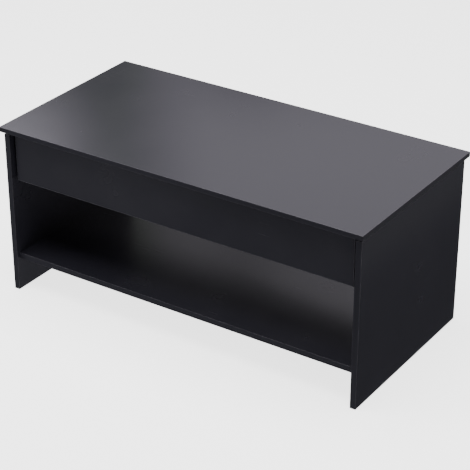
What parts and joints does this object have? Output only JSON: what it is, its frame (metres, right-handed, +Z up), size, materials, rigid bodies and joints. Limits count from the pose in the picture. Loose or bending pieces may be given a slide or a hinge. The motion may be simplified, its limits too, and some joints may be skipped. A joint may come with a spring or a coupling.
{
  "type": "lift top coffee table",
  "caption": "Rectangular black board coffee table whose lid lifts up and forward on side linkages over a hidden compartment, with an open lower shelf.",
  "frame": {"origin": "on the ground under the middle of the closed lid", "axes": "+X along the long side, -Y towards the front with the apron, +Z up"},
  "size_m": [1, 0.5, 0.445],
  "materials": {
    "black_board": "satin melamine-faced particle board",
    "edging": "satin plastic edging",
    "black_steel": "satin powder coat",
    "zinc_steel": "bright zinc plate",
    "cast_zinc": "dull cast zinc",
    "spring_steel": "oiled spring steel",
    "nylon": "natural nylon",
    "sleeve_rubber": "matte rubber",
    "beech": "plain beech"
  },
  "bodies": {
    "cabinet": {"left_side_panel": "black_board", "right_side_panel": "black_board", "lower_shelf": "black_board", "compartment_floor": "black_board", "back_board": "black_board", "front_rail": "black_board", "left_panel_edging": "edging", "right_panel_edging": "edging", "shelf_edging": "edging", "floor_edging": "edging", "back_board_edging": "edging", "front_rail_edging": "edging", "cabinet_cams": "cast_zinc", "cabinet_cam_bolts": "zinc_steel", "cabinet_dowels": "beech", "left_base_plate": "black_steel", "left_base_pivots": "zinc_steel", "left_base_washers": "nylon", "left_spring_anchor_pin": "zinc_steel", "left_stop_pin": "zinc_steel", "left_stop_sleeve": "sleeve_rubber", "left_base_plate_screws": "zinc_steel", "left_spring": "spring_steel", "right_base_plate": "black_steel", "right_base_pivots": "zinc_steel", "right_base_washers": "nylon", "right_spring_anchor_pin": "zinc_steel", "right_stop_pin": "zinc_steel", "right_stop_sleeve": "sleeve_rubber", "right_base_plate_screws": "zinc_steel", "right_spring": "spring_steel"},
    "lid": {"lid": "black_board", "lid_edging": "edging", "apron": "black_board", "apron_edging": "edging", "apron_cams": "cast_zinc", "apron_cam_bolts": "zinc_steel", "apron_dowels": "beech", "left_top_rail": "black_steel", "left_top_pivots": "zinc_steel", "left_top_washers": "nylon", "left_top_rail_screws": "zinc_steel", "right_top_rail": "black_steel", "right_top_pivots": "zinc_steel", "right_top_washers": "nylon", "right_top_rail_screws": "zinc_steel"},
    "left_front_arm": {"left_front_arm": "black_steel", "left_spring_tail_pin": "zinc_steel"},
    "left_rear_arm": {"left_rear_arm": "black_steel"},
    "right_front_arm": {"right_front_arm": "black_steel", "right_spring_tail_pin": "zinc_steel"},
    "right_rear_arm": {"right_rear_arm": "black_steel"}
  },
  "joints": [
    {"name": "lift", "type": "hinge", "parent": "cabinet", "child": "left_front_arm", "pos_m": [-0.472, -0.11986, 0.363], "axis": [1, 0, 0], "range_deg": [0, 112], "deforming": ["left_spring", "right_spring"]},
    {"name": "lid_level", "type": "hinge", "parent": "left_front_arm", "child": "lid", "pos_m": [-0.472, 0.098, 0.39362], "axis": [1, 0, 0], "range_deg": [-112, 0]},
    {"name": "left_rear_arm_turn", "type": "hinge", "parent": "cabinet", "child": "left_rear_arm", "pos_m": [-0.472, -0.03986, 0.335], "axis": [1, 0, 0], "range_deg": [0, 112]},
    {"name": "right_front_arm_turn", "type": "hinge", "parent": "cabinet", "child": "right_front_arm", "pos_m": [0.472, -0.11986, 0.363], "axis": [1, 0, 0], "range_deg": [0, 112]},
    {"name": "right_rear_arm_turn", "type": "hinge", "parent": "cabinet", "child": "right_rear_arm", "pos_m": [0.472, -0.03986, 0.335], "axis": [1, 0, 0], "range_deg": [0, 112]}
  ],
  "couplings": [
    {"joint": "lid_level", "follows": "lift", "ratio": -1},
    {"joint": "left_rear_arm_turn", "follows": "lift", "ratio": 1},
    {"joint": "right_front_arm_turn", "follows": "lift", "ratio": 1},
    {"joint": "right_rear_arm_turn", "follows": "lift", "ratio": 1}
  ]
}
